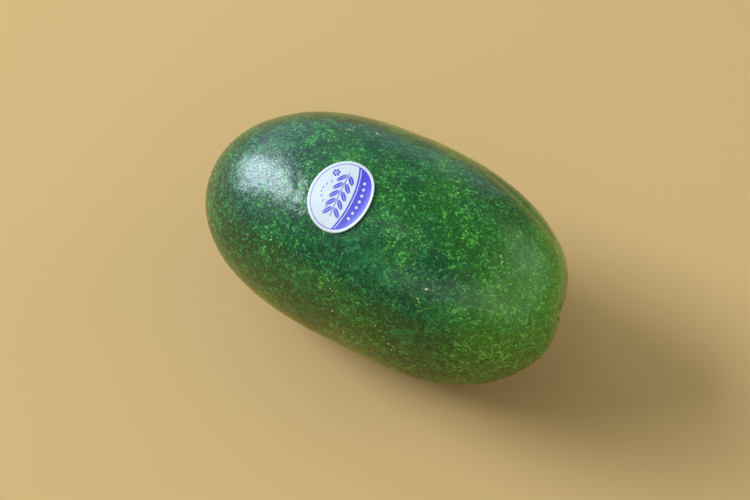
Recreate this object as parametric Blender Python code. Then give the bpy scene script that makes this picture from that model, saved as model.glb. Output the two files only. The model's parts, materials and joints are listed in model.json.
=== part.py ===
"""A small winter melon (wax gourd) lying on its side: the fruit, its cut stalk and an oval label.

Metres. +X points to the blossom end, +Z is up, the ground is z = 0, and the origin is the
middle of the flat spot that the fruit lies on.
"""

import math

import bmesh
import bpy
from mathutils import Vector

# The fruit as if it had grown straight: a solid turned about the X axis.
BODY_LENGTH = 0.240
HALF_LENGTH = BODY_LENGTH / 2
GIRTH_RADIUS = 0.0683
TAPER = 0.015                 # share by which the blossom half is thicker
STEM_FULLNESS = 2.63          # 2 gives an ellipse's end, and more gives a blunter one
BLOSSOM_FULLNESS = 2.56

# How the real fruit departs from that.
AXIS_HEIGHT = 0.0662          # of the straight axis over the ground
BOW = Vector((0, -0.0032, -0.0040))            # both ends curve this way from the middle
BOW_MIDDLE = 0.33             # share of the bow that the middle takes the other way
BLOSSOM_TURN = Vector((0, 0.0094, 0.0109))     # the blossom pole sits off the axis
BLOSSOM_SLANT = Vector((0, -0.202, -0.079))    # and its end face leans back
STEM_SLANT = Vector((0, -0.010, -0.032))
BLOSSOM_TURN_POWER = 5        # how late along the body each of these sets in
SLANT_POWER = 4
OVAL_ACROSS = -0.0072         # wider than high is positive
OVAL_DIAGONAL = 0.0041

# The flattened blossom end, with its corky scar.
FLAT_DEPTH = 0.0044
FLAT_RADIUS = 0.0192
SCAR_RADIUS = 0.0040
SCAR_HEIGHT = 0.0009
SCAR_WIDTH = 0.0013
SCAR_CENTRE_DEPTH = 0.0010

# The stem end: a shallow pit, with a socket for the stalk.
PIT_DEPTH = 0.0045
PIT_RADIUS = 0.0090
STALK_RADIUS = 0.0058
STALK_RIDGE = 0.0006
STALK_RIDGES = 5
STALK_OUT = 0.0015            # how far the cut face stands past the stem pole
STALK_NECK = 0.6              # share of the part in sight that keeps one width
STALK_FLARE = 1.10            # the rest widens by this much to the cut face
GAP = 0.0003
SOCKET_DEPTH = 0.0035         # under the floor of the pit
SOCKET_RADIUS = STALK_RADIUS + STALK_RIDGE + GAP

# Five low lobes run from end to end. One valley between them is a clear crease.
LOBES = 5
LOBE_HEIGHT = 0.0005
LOBE_BLOSSOM_EXTRA = 0.0006
CREASE_ANGLE = math.radians(54.5)
CREASE_DEPTH = 0.0010
CREASE_HALF_WIDTH = math.radians(3.6)
CREASE_MIDDLE = 0.075
CREASE_HALF_LENGTH = 0.023
SMOOTH_END_RADIUS = GIRTH_RADIUS / 2           # they all fade out inside this, at both ends

# Low swells and hollows of the skin: place along X, angle round the girth, height, spread.
SWELLS = (
    (0.012, math.radians(196), -0.0009, 0.024),
    (0.062, math.radians(206), 0.0009, 0.020),
    (-0.070, math.radians(100), 0.0006, 0.026),
    (0.030, math.radians(75), -0.0005, 0.026),
    (-0.030, math.radians(330), 0.0007, 0.030),
)

# The label: an oval of paper, its long way round the girth.
LABEL_X = -0.0106
LABEL_ANGLE = math.radians(114.5)
LABEL_TURN = math.radians(86)
LABEL_LONG = 0.0437
LABEL_SHORT = 0.0376
LABEL_THICKNESS = 0.0003

# How finely each shape is cut.
GIRTH_STEPS = 72
SIDE_RINGS = 32
CAP_RADII = (0.0020, 0.0032, 0.0040, 0.0048, 0.0062, 0.0085, 0.0115, 0.0150, 0.0190)
STALK_SIDES = 30
LABEL_SIDES = 40
LABEL_RINGS = 5
SHARP_ANGLE = math.radians(35)
MERGE = 1e-6                  # points closer than this are one
PROBE = 0.001                 # how far to look for the direction of the skin
TURN = 2 * math.pi


def clear_scene():
    for obj in list(bpy.data.objects):
        bpy.data.objects.remove(obj, do_unlink=True)


def material(name, colour, roughness):
    made = bpy.data.materials.new(name)
    made.use_nodes = True
    shader = made.node_tree.nodes["Principled BSDF"]
    shader.inputs["Base Color"].default_value = (*colour, 1)
    shader.inputs["Roughness"].default_value = roughness
    shader.inputs["Metallic"].default_value = 0.0
    made.diffuse_color = (*colour, 1)
    return made


def finish(name, bm, look):
    """The bmesh as a named object with one material, faces out and shaded smooth."""
    bmesh.ops.recalc_face_normals(bm, faces=bm.faces)
    if bm.calc_volume(signed=True) < 0:
        bmesh.ops.reverse_faces(bm, faces=bm.faces)
    mesh = bpy.data.meshes.new(name)
    bm.to_mesh(mesh)
    bm.free()
    mesh.materials.append(look)
    mesh.shade_smooth()
    mesh.set_sharp_from_angle(angle=SHARP_ANGLE)
    made = bpy.data.objects.new(name, mesh)
    bpy.context.scene.collection.objects.link(made)
    return made


def bell(distance, spread):
    return math.exp(-((distance / spread) ** 2))


def turned_radius(along):
    """Radius of the straight body, where along runs from -1 at the stem pole to 1."""
    fullness = STEM_FULLNESS if along < 0 else BLOSSOM_FULLNESS
    return GIRTH_RADIUS * (1 + TAPER * along) * math.sqrt(max(0.0, 1 - abs(along) ** fullness))


def place_of_radius(radius, end):
    """Where along the straight body this radius is met, near the end at -1 or 1."""
    fullness = STEM_FULLNESS if end < 0 else BLOSSOM_FULLNESS
    share = radius / (GIRTH_RADIUS * (1 + TAPER * end))
    return end * (1 - share ** 2) ** (1 / fullness)


def end_relief(along, radius):
    """How far the skin moves along X: the stem pit, the flat blossom end and its scar."""
    if along < 0:
        return PIT_DEPTH * bell(radius, PIT_RADIUS)
    flat = -FLAT_DEPTH * bell(radius, FLAT_RADIUS)
    ring = SCAR_HEIGHT * bell(radius - SCAR_RADIUS, SCAR_WIDTH)
    return flat + ring - SCAR_CENTRE_DEPTH * bell(radius, SCAR_RADIUS / 2)


def skin_bump(x, angle):
    """Height of the lobes, the crease and the low swells over the turned body."""
    along = max(-1.0, min(1.0, x / HALF_LENGTH))
    late = max(0.0, along) ** 2
    lobe = LOBE_HEIGHT + LOBE_BLOSSOM_EXTRA * late
    height = -lobe * math.cos(LOBES * (angle - CREASE_ANGLE)) / 2
    from_crease = math.remainder(angle - CREASE_ANGLE, TURN)
    height -= (CREASE_DEPTH * bell(from_crease, CREASE_HALF_WIDTH)
               * bell(x - CREASE_MIDDLE, CREASE_HALF_LENGTH))
    for swell_x, swell_angle, rise, spread in SWELLS:
        across = GIRTH_RADIUS * math.remainder(angle - swell_angle, TURN)
        height += rise * bell(math.hypot(x - swell_x, across), spread)
    return height


def grown(straight):
    """Moves a point of the straight body to its place on the real one."""
    x, y, z = straight
    radius = math.hypot(y, z)
    angle = math.atan2(z, y)
    along = x / HALF_LENGTH
    oval = OVAL_ACROSS * math.cos(2 * angle) + OVAL_DIAGONAL * math.sin(2 * angle)
    fade = min(1.0, radius / SMOOTH_END_RADIUS)
    wanted = radius * (1 + oval) + skin_bump(x, angle) * fade * fade
    y = wanted * math.cos(angle)
    z = wanted * math.sin(angle)
    late = max(0.0, along)
    early = max(0.0, -along)
    x += late ** SLANT_POWER * (BLOSSOM_SLANT.y * y + BLOSSOM_SLANT.z * z)
    x += early ** SLANT_POWER * (STEM_SLANT.y * y + STEM_SLANT.z * z)
    shift = BOW * (along ** 2 - BOW_MIDDLE) + BLOSSOM_TURN * late ** BLOSSOM_TURN_POWER
    return Vector((x, y + shift.y, z + shift.z + AXIS_HEIGHT))


def skin_point(x, angle):
    along = x / HALF_LENGTH
    radius = turned_radius(along)
    return grown((x + end_relief(along, radius), radius * math.cos(angle), radius * math.sin(angle)))


def over_skin(x, angle, height):
    """A point this high over the skin, along the skin's own normal."""
    here = skin_point(x, angle)
    ahead = skin_point(x + PROBE, angle) - here
    around = skin_point(x, angle + PROBE / GIRTH_RADIUS) - here
    return here + height * around.cross(ahead).normalized()


def spun(profile, steps):
    """A closed solid turned about the X axis from points (x, radius) that start and end on it."""
    bm = bmesh.new()
    points = [bm.verts.new((x, radius, 0)) for x, radius in profile]
    edges = [bm.edges.new(pair) for pair in zip(points, points[1:])]
    bmesh.ops.spin(bm, geom=points + edges, cent=(0, 0, 0), axis=(1, 0, 0), angle=TURN,
                   steps=steps, use_merge=True)
    bmesh.ops.remove_doubles(bm, verts=bm.verts, dist=MERGE)
    return bm


def socket_mouth():
    """Where along X the stalk's socket meets the floor of the pit."""
    along = place_of_radius(SOCKET_RADIUS, -1)
    return along * HALF_LENGTH + end_relief(along, SOCKET_RADIUS)


def melon_profile():
    """The straight body's outline, from the floor of the stalk's socket to the blossom pole."""
    mouth_x = socket_mouth()
    points = [(mouth_x + SOCKET_DEPTH, 0), (mouth_x + SOCKET_DEPTH, SOCKET_RADIUS),
              (mouth_x, SOCKET_RADIUS)]
    places = [place_of_radius(radius, -1) for radius in CAP_RADII if radius > SOCKET_RADIUS]
    first = math.asin(places[-1])
    last = math.asin(place_of_radius(CAP_RADII[-1], 1))
    step = (last - first) / (SIDE_RINGS + 1)
    places += [math.sin(first + step * (ring + 1)) for ring in range(SIDE_RINGS)]
    places += [place_of_radius(radius, 1) for radius in reversed(CAP_RADII)]
    for along in places:
        radius = turned_radius(along)
        points.append((along * HALF_LENGTH + end_relief(along, radius), radius))
    points.append((HALF_LENGTH + end_relief(1, 0), 0))
    return points


def make_melon():
    bm = spun(melon_profile(), GIRTH_STEPS)
    for vert in bm.verts:
        vert.co = grown(vert.co)
    ground = bmesh.ops.bisect_plane(bm, geom=bm.verts[:] + bm.edges[:] + bm.faces[:], dist=MERGE,
                                    plane_co=(0, 0, 0), plane_no=(0, 0, -1), clear_outer=True)
    rim = [item for item in ground["geom_cut"] if isinstance(item, bmesh.types.BMEdge)]
    bmesh.ops.edgeloop_fill(bm, edges=rim)
    return finish("melon", bm, material("melon_skin", (0.035, 0.105, 0.030), 0.42))


def make_stalk():
    """The woody stalk, cut short. Its foot stands in the socket with a small gap all round."""
    mouth_x = socket_mouth()
    foot_x = mouth_x + SOCKET_DEPTH - GAP
    face_x = -HALF_LENGTH - STALK_OUT
    neck_x = mouth_x + STALK_NECK * (face_x - mouth_x)
    wide = STALK_RADIUS * STALK_FLARE
    profile = ((face_x, 0), (face_x, wide), (neck_x, STALK_RADIUS), (foot_x, STALK_RADIUS), (foot_x, 0))
    bm = spun(profile, STALK_SIDES)
    for vert in bm.verts:
        ridge = STALK_RIDGE / STALK_RADIUS * math.cos(STALK_RIDGES * math.atan2(vert.co.z, vert.co.y))
        vert.co = grown((vert.co.x, vert.co.y * (1 + ridge), vert.co.z * (1 + ridge)))
    return finish("stem_stub", bm, material("stalk_wood", (0.33, 0.24, 0.11), 0.85))


def make_label():
    """An oval sheet of even thickness, laid over the skin."""
    bm = bmesh.new()
    bmesh.ops.create_circle(bm, cap_ends=True, cap_tris=True, segments=LABEL_SIDES, radius=1)
    bmesh.ops.subdivide_edges(bm, edges=[edge for edge in bm.edges if not edge.is_boundary],
                              cuts=LABEL_RINGS - 1, use_grid_fill=True)
    top = bmesh.ops.extrude_face_region(bm, geom=bm.faces[:])["geom"]
    upper = {item for item in top if isinstance(item, bmesh.types.BMVert)}
    for vert in bm.verts:
        long_way = vert.co.x * LABEL_LONG / 2
        short_way = vert.co.y * LABEL_SHORT / 2
        x = LABEL_X + long_way * math.cos(LABEL_TURN) - short_way * math.sin(LABEL_TURN)
        around = long_way * math.sin(LABEL_TURN) + short_way * math.cos(LABEL_TURN)
        height = GAP + (LABEL_THICKNESS if vert in upper else 0)
        vert.co = over_skin(x, LABEL_ANGLE + around / GIRTH_RADIUS, height)
    return finish("label", bm, material("label_paper", (0.74, 0.80, 0.84), 0.45))


clear_scene()
make_melon()
make_stalk()
make_label()
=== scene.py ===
# %% [markdown]
# # Dressing a small winter melon
# A winter melon is one grown body with a waxy skin, so there is little to assemble. Everything
# that makes it look real is in the skin: the slow swell of its ribs, the cloudy green, the fine
# mottling and the grain that breaks up the shine. The solid model is loaded first. It already
# has the right size and shape, so each new piece is made in the same place, in metres.

# %% Load the solid model
import json
import math

import bmesh
import bpy
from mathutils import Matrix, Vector, noise

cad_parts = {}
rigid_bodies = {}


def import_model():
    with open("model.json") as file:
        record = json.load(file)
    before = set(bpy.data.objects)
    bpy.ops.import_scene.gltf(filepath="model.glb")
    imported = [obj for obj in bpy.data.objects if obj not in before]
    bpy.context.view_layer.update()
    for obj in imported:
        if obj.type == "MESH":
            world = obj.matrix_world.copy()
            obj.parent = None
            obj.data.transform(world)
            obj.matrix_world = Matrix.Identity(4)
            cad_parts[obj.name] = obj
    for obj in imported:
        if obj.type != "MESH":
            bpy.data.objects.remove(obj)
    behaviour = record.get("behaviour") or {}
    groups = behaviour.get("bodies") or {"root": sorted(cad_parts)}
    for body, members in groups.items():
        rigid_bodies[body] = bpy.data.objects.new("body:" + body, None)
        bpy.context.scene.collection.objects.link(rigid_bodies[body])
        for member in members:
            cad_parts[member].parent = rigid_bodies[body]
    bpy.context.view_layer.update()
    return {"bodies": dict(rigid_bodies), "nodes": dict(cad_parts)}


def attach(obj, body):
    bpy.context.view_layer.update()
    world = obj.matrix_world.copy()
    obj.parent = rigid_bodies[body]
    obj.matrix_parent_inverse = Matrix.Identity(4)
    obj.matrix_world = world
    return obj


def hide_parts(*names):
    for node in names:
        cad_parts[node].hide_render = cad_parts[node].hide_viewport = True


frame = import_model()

ROOT = next(iter(frame["bodies"]))
print("nodes:", sorted(frame["nodes"]), "on body", ROOT)

# %% [markdown]
# ## The camera and the light
# The fruit is seen from a raised spot near its blossom end, as a person standing at a table sees
# it. How much bigger the near end looks than the far one gives the distance. A glossy skin is a
# mirror, so each lamp stands where the skin would have to reflect it: a tall window in three panes
# on the stem side for the one bright patch, and weak panels for the curtain, the walls and the
# ceiling. Lamps could also be set by eye, but a highlight's shape is hard to guess that way.

# %% Camera
VIEW_AZIMUTH = math.radians(31.4)
VIEW_ELEVATION = math.radians(50.5)
VIEW_DISTANCE = 0.6356
VIEW_TARGET = Vector((-0.0020, -0.0046, 0.0639))
LENS = 50.0
SENSOR = 36.0


def direction(azimuth, elevation):
    """The way to something seen at this azimuth (0 is towards -Y) and this elevation."""
    flat = math.cos(elevation)
    return Vector((math.sin(azimuth) * flat, -math.cos(azimuth) * flat, math.sin(elevation)))


def aim(obj, place, target):
    """Puts a camera or a lamp at a place and turns it to look at the target."""
    obj.location = place
    obj.rotation_euler = (target - place).to_track_quat("-Z", "Y").to_euler()
    bpy.context.scene.collection.objects.link(obj)


lens = bpy.data.cameras.new("view")
lens.lens = LENS
lens.sensor_width = SENSOR
camera = bpy.data.objects.new("view", lens)
aim(camera, VIEW_TARGET + VIEW_DISTANCE * direction(VIEW_AZIMUTH, VIEW_ELEVATION), VIEW_TARGET)
bpy.context.scene.camera = camera
print("camera at", [round(c, 3) for c in camera.location])

# %% Lamps: name, azimuth, elevation, width and height in degrees, brightness, colour
LAMP_DISTANCE = 6.0
LAMPS = (
    ("window_low", -83, 15, 24, 12, 14.0, (0.71, 0.87, 1.00)),
    ("window_middle", -79, 26, 27, 11, 23.0, (0.71, 0.87, 1.00)),
    ("window_high", -69, 38, 32, 12, 24.0, (0.71, 0.87, 1.00)),
    ("window_side", -106, 26, 18, 26, 2.6, (0.66, 0.86, 1.00)),
    ("curtain", -88, 32, 90, 60, 0.85, (0.60, 0.88, 1.00)),
    ("back_wall", -150, 14, 64, 28, 0.80, (0.66, 0.92, 1.00)),
    ("front_wall", 26, 33, 62, 18, 1.6, (0.92, 0.96, 0.92)),
    ("back_ceiling", -150, 45, 70, 36, 0.30, (0.80, 0.95, 1.00)),
    ("right_wall", 105, 28, 90, 44, 0.95, (0.96, 1.00, 0.90)),
    ("right_curtain", 126, 36, 30, 26, 0.6, (0.85, 1.00, 0.95)),
    ("ceiling_panel", -24, 66, 14, 14, 2.2, (0.80, 0.96, 1.00)),
)
for name, azimuth, elevation, width, height, brightness, colour in LAMPS:
    lamp = bpy.data.lights.new(name, "AREA")
    lamp.shape = "RECTANGLE"
    lamp.size = 2 * LAMP_DISTANCE * math.tan(math.radians(width / 2))
    lamp.size_y = 2 * LAMP_DISTANCE * math.tan(math.radians(height / 2))
    lamp.energy = brightness * math.pi * lamp.size * lamp.size_y
    lamp.color = colour
    place = VIEW_TARGET + LAMP_DISTANCE * direction(math.radians(azimuth), math.radians(elevation))
    aim(bpy.data.objects.new(name, lamp), place, VIEW_TARGET)
    print(name, round(lamp.size, 2), "by", round(lamp.size_y, 2), "m,", round(lamp.energy, 1), "W")

# %% The room's own light, and how the picture is developed
# The fruit is lit by the weak ROOM_LIGHT from all sides. Only the camera sees the BACKDROP, past
# the ground's edge, so that a pale wall stands there without lighting the skin.
ROOM_LIGHT = (0.72, 0.88, 0.95, 1)
ROOM_STRENGTH = 0.25
BACKDROP = (0.72, 0.66, 0.56, 1)
world = bpy.data.worlds.new("room")
world.use_nodes = True
room = world.node_tree
seen_directly = room.nodes.new("ShaderNodeLightPath").outputs["Is Camera Ray"]
dim = room.nodes["Background"]
dim.inputs["Color"].default_value = ROOM_LIGHT
dim.inputs["Strength"].default_value = ROOM_STRENGTH
pale = room.nodes.new("ShaderNodeBackground")
pale.inputs["Color"].default_value = BACKDROP
choice = room.nodes.new("ShaderNodeMixShader")
room.links.new(seen_directly, choice.inputs[0])
room.links.new(dim.outputs[0], choice.inputs[1])
room.links.new(pale.outputs[0], choice.inputs[2])
room.links.new(choice.outputs[0], room.nodes["World Output"].inputs["Surface"])
bpy.context.scene.world = world
bpy.context.scene.view_settings.view_transform = "Standard"
print("room light", ROOM_LIGHT[:3], "at", ROOM_STRENGTH, "and", len(LAMPS), "lamps")

# %% [markdown]
# ## Materials as small graphs
# Each finish below is a graph of nodes. A graph could be drawn by hand in the editor, but written
# out it can be read and changed by its values. Small helpers keep it readable: they turn a given
# colour into the linear numbers that a shader wants, add a node and join its inputs,
# do sums with patterns, stretch a pattern between two limits, and lay one colour over another.

# %% Helpers for the node graphs


def linear(red, green, blue):
    """A screen colour of 0 to 255 in a shader's linear numbers."""
    parts = (c / 255 for c in (red, green, blue))
    return tuple(p / 12.92 if p <= 0.04045 else ((p + 0.055) / 1.055) ** 2.4 for p in parts) + (1,)


def start_material(name):
    """A new material's node tree and its shader."""
    made = bpy.data.materials.new(name)
    made.use_nodes = True
    return made, made.node_tree, made.node_tree.nodes["Principled BSDF"]


def add(tree, kind, inputs=(), **settings):
    """Adds a node. Each input is set to a value, or joined if the value is a socket."""
    made = tree.nodes.new(kind)
    for key, value in settings.items():
        setattr(made, key, value)
    for key, value in dict(inputs).items():
        if isinstance(value, bpy.types.NodeSocket):
            tree.links.new(value, made.inputs[key])
        else:
            made.inputs[key].default_value = value
    return made


def sums(tree, operation, *values):
    """One step of arithmetic on numbers or sockets."""
    return add(tree, "ShaderNodeMath", enumerate(values), operation=operation).outputs[0]


def weighed(tree, *parts):
    """Patterns added up, each given as a pair with the weight that it counts for."""
    total = sums(tree, "MULTIPLY", *parts[0])
    for part in parts[1:]:
        total = sums(tree, "ADD", total, sums(tree, "MULTIPLY", *part))
    return total


def stretch(tree, value, low, high, to_low=0.0, to_high=1.0):
    """Runs smoothly from to_low, where value is low, to to_high, where it is high."""
    made = add(tree, "ShaderNodeMapRange", {"Value": value, "From Min": low, "From Max": high,
                                            "To Min": to_low, "To Max": to_high},
               interpolation_type="SMOOTHSTEP")
    return made.outputs["Result"]


def mix(tree, share, first, second):
    """The second colour over the first, by share."""
    made = add(tree, "ShaderNodeMix", {"Factor": share}, data_type="RGBA")
    for socket, value in ((made.inputs[6], first), (made.inputs[7], second)):
        if isinstance(value, bpy.types.NodeSocket):
            tree.links.new(value, socket)
        else:
            socket.default_value = value
    return made.outputs[2]


def cloud(tree, where, size, detail=2.0, roughness=0.5, distortion=0.0):
    """Soft random patches about as wide as size, in metres."""
    made = add(tree, "ShaderNodeTexNoise", {"Vector": where, "Scale": 1 / size, "Detail": detail,
                                            "Roughness": roughness, "Distortion": distortion})
    return made.outputs["Fac"]


print("a middle grey of 128 is", round(linear(128, 128, 128)[0], 3), "in linear numbers")

# %% [markdown]
# ## The ground
# The fruit lies on a plain, matt floor. Its colour matters, because a glossy dark skin shows it
# all along the lower rim, so it has the warm tan of straw. One large square is enough, and it
# lies a hair below the fruit, so that the two never share a plane.

# %% The ground
GROUND_COLOUR = linear(186, 147, 98)
GROUND_ROUGHNESS = 0.75
GROUND_SIZE = 6.0
GROUND_DROP = 0.0002
bm = bmesh.new()
bmesh.ops.create_grid(bm, x_segments=1, y_segments=1, size=GROUND_SIZE / 2)
bmesh.ops.translate(bm, verts=bm.verts, vec=(0, 0, -GROUND_DROP))
mesh = bpy.data.meshes.new("ground")
bm.to_mesh(mesh)
bm.free()
ground = bpy.data.objects.new("ground", mesh)
bpy.context.scene.collection.objects.link(ground)
ground_look, tree, shader = start_material("ground")
shader.inputs["Base Color"].default_value = GROUND_COLOUR
shader.inputs["Roughness"].default_value = GROUND_ROUGHNESS
shader.inputs["Specular IOR Level"].default_value = 0.0
mesh.materials.append(ground_look)
print("ground", GROUND_SIZE, "m wide")

# %% [markdown]
# ## The shape of the fruit
# A fruit like this is almost a solid of revolution, so the straight body is turned on a lathe
# about the X axis. Then it is made to grow: it bows, its blossom end turns aside and is pressed
# flat, five low ribs run along it and one valley between them is a clear crease. These are the
# solid model's own values, so the fine skin lies exactly where the solid one is.

# %% The straight body
HALF_LENGTH = 0.120
GIRTH_RADIUS = 0.0683
TAPER = 0.015
STEM_FULLNESS = 2.63
BLOSSOM_FULLNESS = 2.56
FLAT_DEPTH = 0.0044
FLAT_RADIUS = 0.0192
SCAR_RADIUS = 0.0040
SCAR_HEIGHT = 0.0009
SCAR_WIDTH = 0.0013
SCAR_CENTRE_DEPTH = 0.0010
PIT_DEPTH = 0.0045
PIT_RADIUS = 0.0090


def bell(distance, spread):
    """A smooth hump: 1 at no distance, and next to nothing past twice the spread."""
    return math.exp(-((distance / spread) ** 2))


def turned_radius(along):
    """Radius of the straight body, where along runs from -1 at the stem pole to 1."""
    fullness = STEM_FULLNESS if along < 0 else BLOSSOM_FULLNESS
    return GIRTH_RADIUS * (1 + TAPER * along) * math.sqrt(max(0.0, 1 - abs(along) ** fullness))


def place_of_radius(radius, end):
    """Where along the straight body this radius is met, near the end at -1 or 1."""
    fullness = STEM_FULLNESS if end < 0 else BLOSSOM_FULLNESS
    share = radius / (GIRTH_RADIUS * (1 + TAPER * end))
    return end * (1 - share ** 2) ** (1 / fullness)


def end_relief(along, radius):
    """How far the skin moves along X: the stem pit, the flat blossom end and its scar."""
    if along < 0:
        return PIT_DEPTH * bell(radius, PIT_RADIUS)
    flat = -FLAT_DEPTH * bell(radius, FLAT_RADIUS)
    ring = SCAR_HEIGHT * bell(radius - SCAR_RADIUS, SCAR_WIDTH)
    return flat + ring - SCAR_CENTRE_DEPTH * bell(radius, SCAR_RADIUS / 2)


print("girth", round(2 * GIRTH_RADIUS * 1000, 1), "mm, length", 2 * HALF_LENGTH * 1000, "mm")

# %% How it grew
AXIS_HEIGHT = 0.0662
BOW = Vector((0, -0.0032, -0.0040))
BOW_MIDDLE = 0.33
BLOSSOM_TURN = Vector((0, 0.0094, 0.0109))
BLOSSOM_SLANT = Vector((0, -0.202, -0.079))
STEM_SLANT = Vector((0, -0.010, -0.032))
BLOSSOM_TURN_POWER = 5
SLANT_POWER = 4
OVAL_ACROSS = -0.0072
OVAL_DIAGONAL = 0.0041
LOBES = 5
LOBE_HEIGHT = 0.0005
LOBE_BLOSSOM_EXTRA = 0.0006
CREASE_ANGLE = math.radians(54.5)
CREASE_DEPTH = 0.0010
CREASE_HALF_WIDTH = math.radians(3.6)
CREASE_MIDDLE = 0.075
CREASE_HALF_LENGTH = 0.023
SMOOTH_END_RADIUS = GIRTH_RADIUS / 2
SWELLS = (
    (0.012, math.radians(196), -0.0009, 0.024),
    (0.062, math.radians(206), 0.0009, 0.020),
    (-0.070, math.radians(100), 0.0006, 0.026),
    (0.030, math.radians(75), -0.0005, 0.026),
    (-0.030, math.radians(330), 0.0007, 0.030),
)


def skin_bump(x, angle):
    """Height of the ribs, the crease and the low swells over the turned body."""
    along = max(-1.0, min(1.0, x / HALF_LENGTH))
    late = max(0.0, along) ** 2
    lobe = LOBE_HEIGHT + LOBE_BLOSSOM_EXTRA * late
    height = -lobe * math.cos(LOBES * (angle - CREASE_ANGLE)) / 2
    from_crease = math.remainder(angle - CREASE_ANGLE, math.tau)
    height -= (CREASE_DEPTH * bell(from_crease, CREASE_HALF_WIDTH)
               * bell(x - CREASE_MIDDLE, CREASE_HALF_LENGTH))
    for swell_x, swell_angle, rise, spread in SWELLS:
        across = GIRTH_RADIUS * math.remainder(angle - swell_angle, math.tau)
        height += rise * bell(math.hypot(x - swell_x, across), spread)
    return height


def grown(straight):
    """Moves a point of the straight body to its place on the real one."""
    x, y, z = straight
    radius = math.hypot(y, z)
    angle = math.atan2(z, y)
    along = x / HALF_LENGTH
    oval = OVAL_ACROSS * math.cos(2 * angle) + OVAL_DIAGONAL * math.sin(2 * angle)
    fade = min(1.0, radius / SMOOTH_END_RADIUS)
    wanted = radius * (1 + oval) + skin_bump(x, angle) * fade * fade
    y = wanted * math.cos(angle)
    z = wanted * math.sin(angle)
    late = max(0.0, along)
    early = max(0.0, -along)
    x += late ** SLANT_POWER * (BLOSSOM_SLANT.y * y + BLOSSOM_SLANT.z * z)
    x += early ** SLANT_POWER * (STEM_SLANT.y * y + STEM_SLANT.z * z)
    shift = BOW * (along ** 2 - BOW_MIDDLE) + BLOSSOM_TURN * late ** BLOSSOM_TURN_POWER
    return Vector((x, y + shift.y, z + shift.z + AXIS_HEIGHT))


def straight_point(x, angle):
    """The place on the straight body at this length along it and angle round it."""
    along = x / HALF_LENGTH
    radius = turned_radius(along)
    return Vector((x + end_relief(along, radius), radius * math.cos(angle), radius * math.sin(angle)))


print("stem pole", [round(c, 4) for c in grown(straight_point(-HALF_LENGTH, 0))],
      "blossom pole", [round(c, 4) for c in grown(straight_point(HALF_LENGTH, 0))])

# %% Unevenness too fine for the solid model: waves, shallow dimples and one small bump
WAVES = ((0.024, 0.00022), (0.010, 0.00010), (0.0042, 0.000035))
DIMPLES = (
    (-0.0540, math.radians(119.3), -0.00016, 0.0042),
    (-0.0585, math.radians(110.0), -0.00010, 0.0055),
    (-0.0340, math.radians(131.0), -0.00010, 0.0060),
    (-0.0858, math.radians(157.5), 0.00045, 0.0015),
)


def uneven(straight):
    """Height of the fine unevenness over the straight body."""
    height = sum(rise * noise.noise(straight / size) for size, rise in WAVES)
    angle = math.atan2(straight.z, straight.y)
    for x, around, rise, spread in DIMPLES:
        across = GIRTH_RADIUS * math.remainder(angle - around, math.tau)
        height += rise * bell(math.hypot(straight.x - x, across), spread)
    return height


def skin_point(x, angle):
    """The place on the finished skin at this length along the fruit and angle round it."""
    straight = straight_point(x, angle)
    return grown(straight + straight.normalized() * uneven(straight))


print("top of the middle", [round(c, 4) for c in skin_point(0, math.radians(90))])

# %% [markdown]
# ## Turning the skin
# The outline starts as a chain of vertices in one half plane, and a spin about X makes the
# body. Rings lie about a millimetre apart, so the ribs, the crease and the scar are real shape
# and the outline stays round. Where the fruit lies on the ground, its skin is pressed flat.

# %% A lathe, and a finish for every piece
MERGE = 1e-6


def spun(profile, steps):
    """A closed solid turned about the X axis from points (x, radius) that start and end on it."""
    bm = bmesh.new()
    points = [bm.verts.new((x, radius, 0)) for x, radius in profile]
    edges = [bm.edges.new(pair) for pair in zip(points, points[1:])]
    bmesh.ops.spin(bm, geom=points + edges, cent=(0, 0, 0), axis=(1, 0, 0), angle=math.tau,
                   steps=steps, use_merge=True)
    bmesh.ops.remove_doubles(bm, verts=bm.verts, dist=MERGE)
    bmesh.ops.recalc_face_normals(bm, faces=bm.faces)
    return bm


def piece(name, bm, look, node):
    """The bmesh as a piece that rides on the root body and stands for one solid node."""
    if bm.calc_volume(signed=True) < 0:
        bmesh.ops.reverse_faces(bm, faces=bm.faces)
    mesh = bpy.data.meshes.new(name)
    bm.to_mesh(mesh)
    bm.free()
    mesh.materials.append(look)
    mesh.shade_smooth()
    made = bpy.data.objects.new(name, mesh)
    bpy.context.scene.collection.objects.link(made)
    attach(made, ROOT)
    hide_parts(node)
    print(name, len(mesh.polygons), "faces")


# %% The outline and the spin
GIRTH_STEPS = 300
SIDE_RINGS = 232
CAP_RADIUS = 0.020
CAP_RINGS = 30


def skin_profile():
    """Points (x, radius) from the stem pole to the blossom pole of the straight body."""
    cap = [CAP_RADIUS * (ring + 1) / CAP_RINGS for ring in range(CAP_RINGS)]
    places = [place_of_radius(radius, -1) for radius in cap]
    first = math.asin(places[-1])
    last = math.asin(place_of_radius(CAP_RADIUS, 1))
    step = (last - first) / (SIDE_RINGS + 1)
    places += [math.sin(first + step * (ring + 1)) for ring in range(SIDE_RINGS)]
    places += [place_of_radius(radius, 1) for radius in reversed(cap)]
    points = [(-HALF_LENGTH + end_relief(-1, 0), 0)]
    for along in places:
        radius = turned_radius(along)
        points.append((along * HALF_LENGTH + end_relief(along, radius), radius))
    points.append((HALF_LENGTH + end_relief(1, 0), 0))
    return points


skin_mesh = spun(skin_profile(), GIRTH_STEPS)
print("skin", len(skin_mesh.faces), "faces before it grows")

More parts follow.
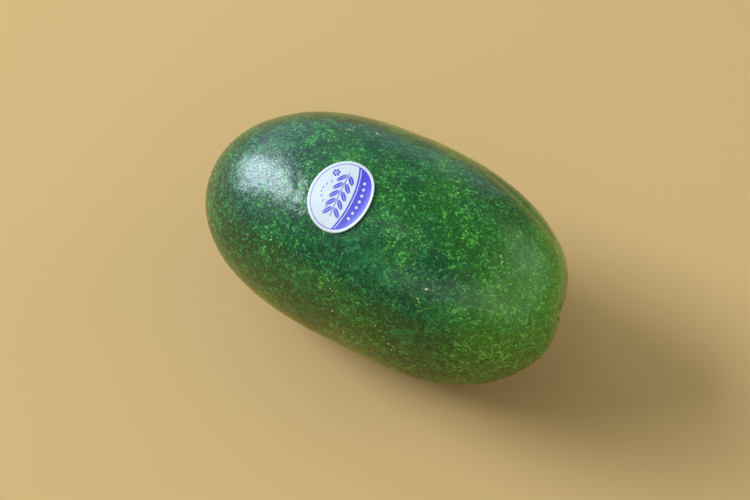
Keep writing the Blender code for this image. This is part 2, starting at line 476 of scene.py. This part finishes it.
# %% Growing the skin
CORK_SIZE = 0.0011
CORK_HEIGHT = 0.00035
STEM_RING_RADIUS = 1.6 * PIT_RADIUS
scar = skin_mesh.verts.layers.float.new("scar")
stem_end = skin_mesh.verts.layers.float.new("stem_end")
for vert in skin_mesh.verts:
    straight = vert.co.copy()
    radius = math.hypot(straight.y, straight.z)
    vert[scar] = bell(max(0.0, radius - SCAR_RADIUS), SCAR_WIDTH) if straight.x > 0 else 0.0
    vert[stem_end] = bell(radius, STEM_RING_RADIUS) if straight.x < 0 else 0.0
    height = uneven(straight) + CORK_HEIGHT * vert[scar] * noise.noise(straight / CORK_SIZE)
    vert.co = grown(straight + straight.normalized() * height)
    vert.co.z = max(0.0, vert.co.z)
print("grown, lowest point", min(vert.co.z for vert in skin_mesh.verts))

# %% [markdown]
# ## The skin's finish
# A winter melon's green is built up in layers, each of its own size. Slow clouds of one to six
# centimetres make some parts dark and bluish and others yellow green. The stem end is darkest, the
# blossom end is light and warm, and the lower side is olive: partly a ground spot, partly painted
# warm bounce light and reflection from the floor. Over that lies a mottle of light flecks about a
# millimetre wide, crowded in places and with dark gaps between them, and then tiny pale dots. A
# painted picture could hold all this, but noise on the object's own coordinates needs no
# unwrapping, has no seam and stays sharp from near by.

# %% Colours of the skin
TEAL_GREEN = linear(3, 53, 32)
DEEP_GREEN = linear(15, 57, 25)
MID_GREEN = linear(23, 80, 34)
WARM_GREEN = linear(43, 100, 17)
# The olive of the lower side: partly a ground spot, partly painted warm bounce light from the floor.
OLIVE_SPOT_AND_BOUNCE = linear(66, 74, 2)
BLOSSOM_GREEN = linear(100, 166, 36)
STEM_GREEN = linear(7, 40, 24)
GAP_GREEN = linear(12, 44, 26)
FLECK_GREEN = linear(43, 127, 66)
WARM_FLECK_GREEN = linear(128, 201, 62)
DOT_GREEN = linear(170, 215, 197)
CORK = linear(185, 166, 121)
CORK_DARK = linear(113, 87, 49)
MARK_CREAM = linear(214, 202, 166)
print("middle green", [round(c, 3) for c in MID_GREEN[:3]])

# %% Slow clouds of green
BROAD_SIZE = 0.060
PATCH_SIZE = 0.018
TINT_SIZE = 0.0095
skin_look, tree, shader = start_material("melon_skin")
where = add(tree, "ShaderNodeTexCoord").outputs["Object"]
place = add(tree, "ShaderNodeSeparateXYZ", {"Vector": where}).outputs
broad = cloud(tree, where, BROAD_SIZE)
patchy = cloud(tree, where, PATCH_SIZE, detail=3.0, roughness=0.62)
tint = cloud(tree, where, TINT_SIZE, detail=3.0, roughness=0.6)
blossom_half = stretch(tree, place["X"], -0.07, 0.06)
blossom_end = stretch(tree, place["X"], 0.055, 0.115)
ground_spot_and_bounce = stretch(tree, place["Z"], 0.118, 0.045)
warmth = weighed(tree, (broad, 1.0), (blossom_half, 0.14), (blossom_end, 0.34))
colour = mix(tree, stretch(tree, tint, 0.40, 0.60), DEEP_GREEN, TEAL_GREEN)
colour = mix(tree, stretch(tree, patchy, 0.40, 0.66), colour, MID_GREEN)
colour = mix(tree, stretch(tree, warmth, 0.50, 0.90, 0.0, 0.9), colour, WARM_GREEN)
colour = mix(tree, sums(tree, "MULTIPLY", blossom_end, 0.46), colour, BLOSSOM_GREEN)
colour = mix(tree, stretch(tree, place["X"], 0.0, -0.08, 0.0, 0.88), colour, STEM_GREEN)
# The lower side turns olive: partly a ground spot, partly painted warm bounce light and reflection from the
# floor.
olive_bounce_share = stretch(tree, place["X"], -0.100, -0.035, 0.35, 0.85)
colour = mix(tree, sums(tree, "MULTIPLY", ground_spot_and_bounce, olive_bounce_share), colour, OLIVE_SPOT_AND_BOUNCE)
print("clouds of", BROAD_SIZE * 1000, PATCH_SIZE * 1000, "and", TINT_SIZE * 1000, "mm")

# %% Flecks of a millimetre, crowded into clusters of a few millimetres
# The pattern adds fine noise, soft cells and two sizes of cluster. Noise alone gives worms, and
# cells alone give a net, but their sum breaks up into ragged flecks of many sizes.
FINE_SIZE = 0.0008
CELL_SIZE = 0.0013
CLUSTER_SIZE = 0.0048
GAP_SHARE = 0.45
fine = cloud(tree, where, FINE_SIZE, roughness=0.6)
cells = add(tree, "ShaderNodeTexVoronoi", {"Vector": where, "Scale": 1 / CELL_SIZE, "Smoothness": 0.5},
            feature="SMOOTH_F1").outputs["Color"]
cells = add(tree, "ShaderNodeSeparateColor", {"Color": cells}).outputs["Red"]
cluster = cloud(tree, where, CLUSTER_SIZE, detail=3.0, roughness=0.65, distortion=0.5)
fleck = weighed(tree, (fine, 0.46), (cluster, 0.27), (patchy, 0.12), (cells, 0.15), (blossom_end, 0.022))
gaps = stretch(tree, fleck, 0.50, 0.40)
colour = mix(tree, sums(tree, "MULTIPLY", gaps, GAP_SHARE), colour, GAP_GREEN)
print("clusters of", CLUSTER_SIZE * 1000, "mm, and gaps that darken by", GAP_SHARE)

# %% The flecks' own greens, stronger at both ends and warmer towards the blossom
BRIGHT_SHARE = 0.80
flecks = stretch(tree, fleck, 0.47, 0.63)
fleck_share = stretch(tree, place["X"], 0.02, -0.08, 0.48, 0.66)
fleck_share = weighed(tree, (fleck_share, 1.0), (blossom_end, 0.34))
colour = mix(tree, sums(tree, "MULTIPLY", flecks, fleck_share), colour, FLECK_GREEN)
bright = stretch(tree, fleck, 0.54, 0.66)
bright = sums(tree, "MULTIPLY", bright, stretch(tree, warmth, 0.44, 0.80, 0.12, 1.0))
colour = mix(tree, sums(tree, "MULTIPLY", bright, BRIGHT_SHARE), colour, WARM_FLECK_GREEN)
print("flecks of", FINE_SIZE * 1000, "to", CELL_SIZE * 1000, "mm")

# %% The tiny pale dots
# Each cell of the pattern may hold one dot in its middle. The cell's own random grey says how
# big it is, and the darkest cells stay empty. Distances are counted in cells here.
DOT_SPACING = 0.0025
DOT_RADIUS = 0.00031
in_cells = DOT_RADIUS / DOT_SPACING
dots = add(tree, "ShaderNodeTexVoronoi", {"Vector": where, "Scale": 1 / DOT_SPACING})
dot_size = stretch(tree, dots.outputs["Color"], 0.30, 0.95, 0.0, 1.3 * in_cells)
dot = sums(tree, "SUBTRACT", dot_size, dots.outputs["Distance"])
dot = stretch(tree, dot, -0.1 * in_cells, 0.5 * in_cells)
dotted = stretch(tree, place["X"], 0.05, -0.05, 0.35, 1.0)
colour = mix(tree, sums(tree, "MULTIPLY", dot, dotted), colour, DOT_GREEN)
print("dots up to", round(2.6 * DOT_RADIUS * 1000, 2), "mm wide, about", DOT_SPACING * 1000, "mm apart")

# %% [markdown]
# ## Marks on the skin
# Leaves, soil and hands leave small nicks that heal pale, some in a short row where something
# brushed along. The blossom leaves a ring of cork, and the skin is lighter round the stalk. Nicks
# have places of their own, so they are listed, and a wobble of the coordinates makes them ragged.

# %% Small healed nicks: length along the fruit in mm, angle round it in degrees, radius in mm
WOBBLE_SIZE = 1 / 900
WOBBLE_REACH = 0.0012
NICKS = (
    (-33.3, 77.6, 0.40), (-32.2, 76.8, 0.45), (-31.2, 76.6, 0.35), (-31.0, 73.0, 0.35),
    (-30.0, 70.4, 0.35), (-29.2, 68.9, 0.45), (-19.1, 70.2, 0.30), (-17.4, 71.7, 0.55),
    (-16.4, 72.0, 0.40), (-14.7, 72.5, 0.30), (20.1, 77.4, 0.35), (7.2, 170.2, 0.55),
    (3.5, 157.9, 0.40), (34.1, 166.6, 0.30), (54.9, 137.3, 0.50), (55.9, 136.8, 0.40),
    (52.9, 143.2, 0.45), (54.0, 144.6, 0.40), (54.9, 147.1, 0.30), (82.4, 104.4, 0.45),
    (84.3, 107.0, 0.55), (87.0, 105.9, 0.35), (43.2, 175.1, 0.50), (46.2, 175.9, 0.40),
    (45.2, 179.2, 0.55), (106.6, 154.8, 0.40),
)
wobble = add(tree, "ShaderNodeTexNoise", {"Vector": where, "Scale": 1 / WOBBLE_SIZE, "Detail": 2.0})
wobble = add(tree, "ShaderNodeVectorMath", {0: wobble.outputs["Color"], 1: (0.5, 0.5, 0.5)},
             operation="SUBTRACT").outputs[0]
wobble = add(tree, "ShaderNodeVectorMath", {0: wobble, "Scale": WOBBLE_REACH}, operation="SCALE").outputs[0]
shaken = add(tree, "ShaderNodeVectorMath", {0: where, 1: wobble}, operation="ADD").outputs[0]
nick_share = 0.0
for x, angle, radius in NICKS:
    middle = skin_point(x / 1000, math.radians(angle))
    away = add(tree, "ShaderNodeVectorMath", {0: shaken, 1: middle}, operation="DISTANCE")
    spot = stretch(tree, away.outputs["Value"], radius / 1000 * 1.15, radius / 1000 * 0.7)
    nick_share = sums(tree, "MAXIMUM", nick_share, spot)
colour = mix(tree, nick_share, colour, MARK_CREAM)
print(len(NICKS), "nicks")

# %% Cork on the scar, and a paler ring round the stalk
CORK_GRAIN_SIZE = 0.0012
scar_share = add(tree, "ShaderNodeAttribute", attribute_name="scar").outputs["Fac"]
grain = cloud(tree, where, CORK_GRAIN_SIZE, detail=4.0, roughness=0.7)
cork = mix(tree, stretch(tree, grain, 0.35, 0.65), CORK_DARK, CORK)
scarred = stretch(tree, weighed(tree, (scar_share, 1.0), (grain, 0.3)), 0.75, 0.95)
colour = mix(tree, scarred, colour, cork)
stem_share = add(tree, "ShaderNodeAttribute", attribute_name="stem_end").outputs["Fac"]
colour = mix(tree, sums(tree, "MULTIPLY", stem_share, 0.45), colour, WARM_GREEN)
tree.links.new(colour, shader.inputs["Base Color"])
print("cork on a scar", 2 * SCAR_RADIUS * 1000, "mm wide")

# %% [markdown]
# ## The skin's shine
# Wax gives the skin a soft polish. In the photograph the window's reflection is speckled, because
# tiny spots of the wax are dull. Strong bumps would smear the highlight, so they stay low, and
# the roughness varies in fine specks instead. The side that lay on the ground is duller. Very fine
# hairs catch light where the skin turns away, so a thin sheen gives the rims their ochre line.

# %% Shine and grain
GRAIN_SIZE = 0.0011
GRAIN_HEIGHT = 0.00010
SOFT_SIZE = 0.007
SOFT_HEIGHT = 0.00045
SPECK_SIZE = 0.0009
WAXED = 0.16
DULL = 0.50
GROUND_DULLNESS = 0.18
SKIN_IOR = 1.40
SHEEN_WEIGHT = 0.24
SHEEN_ROUGHNESS = 0.25
SHEEN_OCHRE = linear(200, 165, 20)
fine_grain = cloud(tree, where, GRAIN_SIZE, roughness=0.6)
soft = cloud(tree, where, SOFT_SIZE)
relief = weighed(tree, (fine_grain, GRAIN_HEIGHT), (soft, SOFT_HEIGHT))
bump = add(tree, "ShaderNodeBump", {"Height": relief, "Strength": 1.0, "Distance": 1.0})
tree.links.new(bump.outputs["Normal"], shader.inputs["Normal"])
speck = cloud(tree, where, SPECK_SIZE, detail=3.0, roughness=0.7)
polish = stretch(tree, speck, 0.47, 0.62, WAXED, DULL)
rubbed = stretch(tree, place["Z"], 0.095, 0.030, 0.0, GROUND_DULLNESS)
tree.links.new(sums(tree, "ADD", polish, rubbed), shader.inputs["Roughness"])
shader.inputs["IOR"].default_value = SKIN_IOR
shader.inputs["Sheen Weight"].default_value = SHEEN_WEIGHT
shader.inputs["Sheen Roughness"].default_value = SHEEN_ROUGHNESS
shader.inputs["Sheen Tint"].default_value = SHEEN_OCHRE
piece("skin", skin_mesh, skin_look, "melon")

# %% [markdown]
# ## The cut stalk
# The stalk dries to a woody stub with five low ridges. An extruded pentagon would do, but its
# edges would be too straight, so the stalk is turned as well, with its cut face slightly hollow,
# and the ridges and fibres are pushed into the turned shape. It grows with the fruit's own bend.

# %% Turning the stalk
STALK_RADIUS = 0.0058
STALK_RIDGE = 0.00035
STALK_RIDGES = 5
STALK_FLARE = 1.10
STALK_FACE_X = -HALF_LENGTH - 0.0015
STALK_FOOT_X = -0.1125
STALK_NECK_X = -0.1180
STALK_STEPS = 90
STALK_RINGS = 10
FACE_HOLLOW = 0.0006
HOLLOW_SPREAD = 0.6
FACE_RINGS = (0, 0.15, 0.3, 0.45, 0.6, 0.75, 0.88)
RIM_DEPTH = 0.0004
FIBRE_SIZE = 0.0008
FIBRE_HEIGHT = 0.00022
FIBRE_STRETCH = 0.15


def stalk_profile():
    """Points (x, radius) from the middle of the cut face, over its rim, to the hidden foot."""
    wide = STALK_RADIUS * STALK_FLARE
    face = [(STALK_FACE_X + FACE_HOLLOW * bell(ring, HOLLOW_SPREAD), wide * ring) for ring in FACE_RINGS]
    rim = [(STALK_FACE_X + RIM_DEPTH / 4, wide * 0.96), (STALK_FACE_X + RIM_DEPTH, wide)]
    side = []
    for ring in range(1, STALK_RINGS + 1):
        share = ring / STALK_RINGS
        x = STALK_FACE_X + RIM_DEPTH + share * (STALK_FOOT_X - STALK_FACE_X - RIM_DEPTH)
        flare = max(0.0, (STALK_NECK_X - x) / (STALK_NECK_X - STALK_FACE_X))
        side.append((x, STALK_RADIUS * (1 + (STALK_FLARE - 1) * flare)))
    return face + rim + side + [(STALK_FOOT_X, 0)]


stalk_mesh = spun(stalk_profile(), STALK_STEPS)
for vert in stalk_mesh.verts:
    x, y, z = vert.co
    angle = math.atan2(z, y)
    ridge = STALK_RIDGE / STALK_RADIUS * math.cos(STALK_RIDGES * angle)
    along_fibre = Vector((x * FIBRE_STRETCH, y, z)) / FIBRE_SIZE
    out = 1 + ridge + FIBRE_HEIGHT / STALK_RADIUS * noise.noise(along_fibre)
    x += 0.3 * FIBRE_HEIGHT * noise.noise(Vector((0, y, z)) / FIBRE_SIZE)
    vert.co = grown((x, y * out, z * out))
print("stalk", round(2 * STALK_RADIUS * 1000, 1), "mm wide,", STALK_RIDGES, "ridges")

# %% The stalk's finish
WOOD_DARK = linear(92, 80, 42)
WOOD_LIGHT = linear(152, 138, 92)
WOOD_GREEN = linear(80, 100, 46)
STREAK_SIZE = 0.0007
STREAK_HEIGHT = 0.0002
GREEN_PATCH_SIZE = 0.006
WOOD_ROUGHNESS = 0.8
stalk_look, tree, shader = start_material("stalk_wood")
where = add(tree, "ShaderNodeTexCoord").outputs["Object"]
fibres = add(tree, "ShaderNodeMapping", {"Vector": where, "Scale": (0.12, 1, 1)}).outputs[0]
streak = cloud(tree, fibres, STREAK_SIZE, detail=4.0, roughness=0.65)
wood = mix(tree, stretch(tree, streak, 0.35, 0.65), WOOD_DARK, WOOD_LIGHT)
green = stretch(tree, cloud(tree, where, GREEN_PATCH_SIZE), 0.40, 0.60, 0.1, 0.7)
tree.links.new(mix(tree, green, wood, WOOD_GREEN), shader.inputs["Base Color"])
bump = add(tree, "ShaderNodeBump", {"Height": sums(tree, "MULTIPLY", streak, STREAK_HEIGHT), "Distance": 1.0})
tree.links.new(bump.outputs["Normal"], shader.inputs["Normal"])
shader.inputs["Roughness"].default_value = WOOD_ROUGHNESS
piece("stalk", stalk_mesh, stalk_look, "stem_stub")

# %% [markdown]
# ## The label
# A shop's label is an oval of thin coated paper, pressed on by hand. It follows the skin in
# both directions, and one edge has sprung up a little, which gives it a dark line of shadow.
# Shrinkwrap could drape it, but here the skin's own formula is at hand: a flat disc is cut into
# rings, thickened, and each of its points is set over the skin along the skin's normal.

# %% The oval of paper
LABEL_X = -0.0106
LABEL_ANGLE = math.radians(114.5)
LABEL_TURN = math.radians(86)
LABEL_LONG = 0.0437
LABEL_SHORT = 0.0376
PAPER_THICKNESS = 0.00012
PAPER_LIFT = 0.00006
CURL_HEIGHT = 0.0012
CURL_SIDE = math.radians(285)
LABEL_SIDES = 128
LABEL_RINGS = 24
CURL_START = 0.72
PROBE = 0.001


def over_skin(x, angle, height):
    """A point this high over the skin, along the skin's own normal."""
    here = skin_point(x, angle)
    ahead = skin_point(x + PROBE, angle) - here
    around = skin_point(x, angle + PROBE / GIRTH_RADIUS) - here
    return here + height * around.cross(ahead).normalized()


def label_point(long_way, short_way, height):
    """A point over the skin from two distances across the label, from its middle."""
    x = LABEL_X + long_way * math.cos(LABEL_TURN) - short_way * math.sin(LABEL_TURN)
    around = long_way * math.sin(LABEL_TURN) + short_way * math.cos(LABEL_TURN)
    return over_skin(x, LABEL_ANGLE + around / GIRTH_RADIUS, height)


label_mesh = bmesh.new()
bmesh.ops.create_circle(label_mesh, cap_ends=True, cap_tris=True, segments=LABEL_SIDES, radius=1)
spokes = [edge for edge in label_mesh.edges if not edge.is_boundary]
bmesh.ops.subdivide_edges(label_mesh, edges=spokes, cuts=LABEL_RINGS - 1, use_grid_fill=True)
top = bmesh.ops.extrude_face_region(label_mesh, geom=label_mesh.faces[:])["geom"]
upper = {item for item in top if isinstance(item, bmesh.types.BMVert)}
paper_map = label_mesh.loops.layers.uv.new("paper")
for face in label_mesh.faces:
    for loop in face.loops:
        loop[paper_map].uv = (loop.vert.co.x * LABEL_LONG / 2, loop.vert.co.y * LABEL_SHORT / 2)
for vert in label_mesh.verts:
    from_middle = vert.co.xy.length
    side = math.atan2(vert.co.y, vert.co.x) - CURL_SIDE
    outward = max(0.0, from_middle - CURL_START) / (1 - CURL_START)
    curl = CURL_HEIGHT * outward ** 2 * max(0.0, math.cos(side)) ** 2
    height = PAPER_LIFT + curl + (PAPER_THICKNESS if vert in upper else 0)
    vert.co = label_point(vert.co.x * LABEL_LONG / 2, vert.co.y * LABEL_SHORT / 2, height)
bmesh.ops.recalc_face_normals(label_mesh, faces=label_mesh.faces)
print("label", len(label_mesh.faces), "faces")

# %% [markdown]
# ## The print
# One violet ink is printed on white: an inset line, a field behind a curve, a sprig of leaves, a
# flower, and rows of dashes and dots. Each shape is a distance that is cut off at its edge, on a map
# of the paper in metres, so the print stays crisp however near the camera comes.

# %% Tools of the print
PAPER_WHITE = linear(187, 184, 185)
VIOLET = linear(57, 46, 169)
BLUR = 0.00008
RIM_BLUR = 0.004
label_look, tree, shader = start_material("label_paper")
paper = add(tree, "ShaderNodeUVMap", uv_map="paper").outputs[0]
across = add(tree, "ShaderNodeSeparateXYZ", {"Vector": paper}).outputs
oval = add(tree, "ShaderNodeMapping", {"Vector": paper, "Scale": (2 / LABEL_LONG, 2 / LABEL_SHORT, 1)})
rim = add(tree, "ShaderNodeVectorMath", {0: oval.outputs[0]}, operation="LENGTH").outputs["Value"]


def inside(value, limit, blur=BLUR):
    """1 where the value is under the limit, with an edge as soft as print."""
    return stretch(tree, value, limit - blur, limit + blur, 1.0, 0.0)


def reach(long_way, short_way):
    """Distance over the paper from a point, given by its two distances from the middle."""
    return add(tree, "ShaderNodeVectorMath", {0: paper, 1: (long_way, short_way, 0)},
               operation="DISTANCE").outputs["Value"]


def gap(value, place):
    """How far the value is from a place, on either side of it."""
    return sums(tree, "ABSOLUTE", sums(tree, "SUBTRACT", value, place))


def both(first, second):
    """Where two shapes overlap."""
    return sums(tree, "MULTIPLY", first, second)


def printed(below, above):
    """The ink so far, with another shape in ink added."""
    return sums(tree, "MAXIMUM", below, above)


def left_white(below, shape):
    """The ink so far, with a shape left out of it."""
    return both(below, sums(tree, "SUBTRACT", 1.0, shape))


print("print", LABEL_LONG * 1000, "by", LABEL_SHORT * 1000, "mm, edges soft over", BLUR * 1000, "mm")

# %% An inset line, and a violet field behind a curve
LINE_PLACE = 0.905
LINE_HALF_WIDTH = 0.010
FIELD_CENTRE = (0, 0.036)
FIELD_RADIUS = 0.0428
STRIPE_GAP = 0.0013
STRIPE_HALF_WIDTH = 0.00022
STRIPE_END = LINE_PLACE - 0.03
line = inside(gap(rim, LINE_PLACE), LINE_HALF_WIDTH, RIM_BLUR)
from_centre = reach(*FIELD_CENTRE)
field = left_white(inside(rim, LINE_PLACE, RIM_BLUR), inside(from_centre, FIELD_RADIUS))
stripe = inside(gap(from_centre, FIELD_RADIUS + STRIPE_GAP), STRIPE_HALF_WIDTH)
ink = left_white(printed(line, field), both(stripe, inside(rim, STRIPE_END, RIM_BLUR)))
print("field cut by a circle of", FIELD_RADIUS * 1000, "mm")

# %% A sprig of leaves
SPRIG_LINE = 0.0008
SPRIG_MIDDLE = -0.0005
SPRIG_HALF_LENGTH = 0.0135
SPRIG_HALF_WIDTH = 0.00028
LEAF_PAIRS = 5
LEAF_START = -0.0098
LEAF_STEP = 0.0050
LEAF_LONG = 0.0066
LEAF_WIDE = 0.0027
LEAF_OFF_LINE = 0.0029
LEAF_TILT = math.radians(40)
RIB_HALF_WIDTH = 0.07
for pair in range(LEAF_PAIRS):
    for side in (-1, 1):
        leaf = add(tree, "ShaderNodeMapping", {
            "Vector": paper, "Rotation": (0, 0, side * LEAF_TILT), "Scale": (LEAF_LONG / 2, LEAF_WIDE / 2, 1),
            "Location": (LEAF_START + LEAF_STEP * pair, SPRIG_LINE + side * LEAF_OFF_LINE, 0)},
            vector_type="TEXTURE").outputs[0]
        size = add(tree, "ShaderNodeVectorMath", {0: leaf}, operation="LENGTH").outputs["Value"]
        rib = add(tree, "ShaderNodeSeparateXYZ", {"Vector": leaf}).outputs["Y"]
        rib = inside(sums(tree, "ABSOLUTE", rib), RIB_HALF_WIDTH, 0.05)
        ink = printed(ink, left_white(inside(size, 1.0, 0.10), rib))
sprig_stem = both(inside(gap(across["Y"], SPRIG_LINE), SPRIG_HALF_WIDTH),
                  inside(gap(across["X"], SPRIG_MIDDLE), SPRIG_HALF_LENGTH))
ink = printed(ink, sprig_stem)
print(2 * LEAF_PAIRS, "leaves of", LEAF_LONG * 1000, "mm")

# %% A flower and a row of dashes
FLOWER_X = -0.0118
FLOWER_Y = 0.0082
PETALS = 6
PETAL_OUT = 0.0016
PETAL_RADIUS = 0.00075
HEART_RADIUS = 0.00055
DASHES = 7
DASH_START = -0.0060
DASH_STEP = 0.0024
DASH_HALF_LENGTH = 0.0008
DASH_HALF_WIDTH = 0.00030
DASH_ROW = 0.0115
DASH_ROW_BEND = 90
for petal in range(PETALS):
    turn = math.tau * petal / PETALS
    petal_at = (FLOWER_X + PETAL_OUT * math.cos(turn), FLOWER_Y + PETAL_OUT * math.sin(turn))
    ink = printed(ink, inside(reach(*petal_at), PETAL_RADIUS))
ink = printed(ink, inside(reach(FLOWER_X, FLOWER_Y), HEART_RADIUS))
for dash in range(DASHES):
    long_way = DASH_START + DASH_STEP * dash
    short_way = DASH_ROW - DASH_ROW_BEND * long_way ** 2
    ink = printed(ink, both(inside(gap(across["X"], long_way), DASH_HALF_LENGTH),
                            inside(gap(across["Y"], short_way), DASH_HALF_WIDTH)))
print(PETALS, "petals and", DASHES, "dashes")

# %% Dots left white in the violet field
WHITE_DOTS = range(-3, 4)
WHITE_DOT_STEP = 0.0036
WHITE_DOT_RADIUS = 0.00085
WHITE_ROW = -0.0120
WHITE_ROW_BEND = 0.0020
PAPER_ROUGHNESS = 0.46
for step in WHITE_DOTS:
    short_way = WHITE_ROW + WHITE_ROW_BEND * (step / WHITE_DOTS[-1]) ** 2
    ink = left_white(ink, inside(reach(WHITE_DOT_STEP * step, short_way), WHITE_DOT_RADIUS))
tree.links.new(mix(tree, ink, PAPER_WHITE, VIOLET), shader.inputs["Base Color"])
shader.inputs["Roughness"].default_value = PAPER_ROUGHNESS
piece("paper_label", label_mesh, label_look, "label")
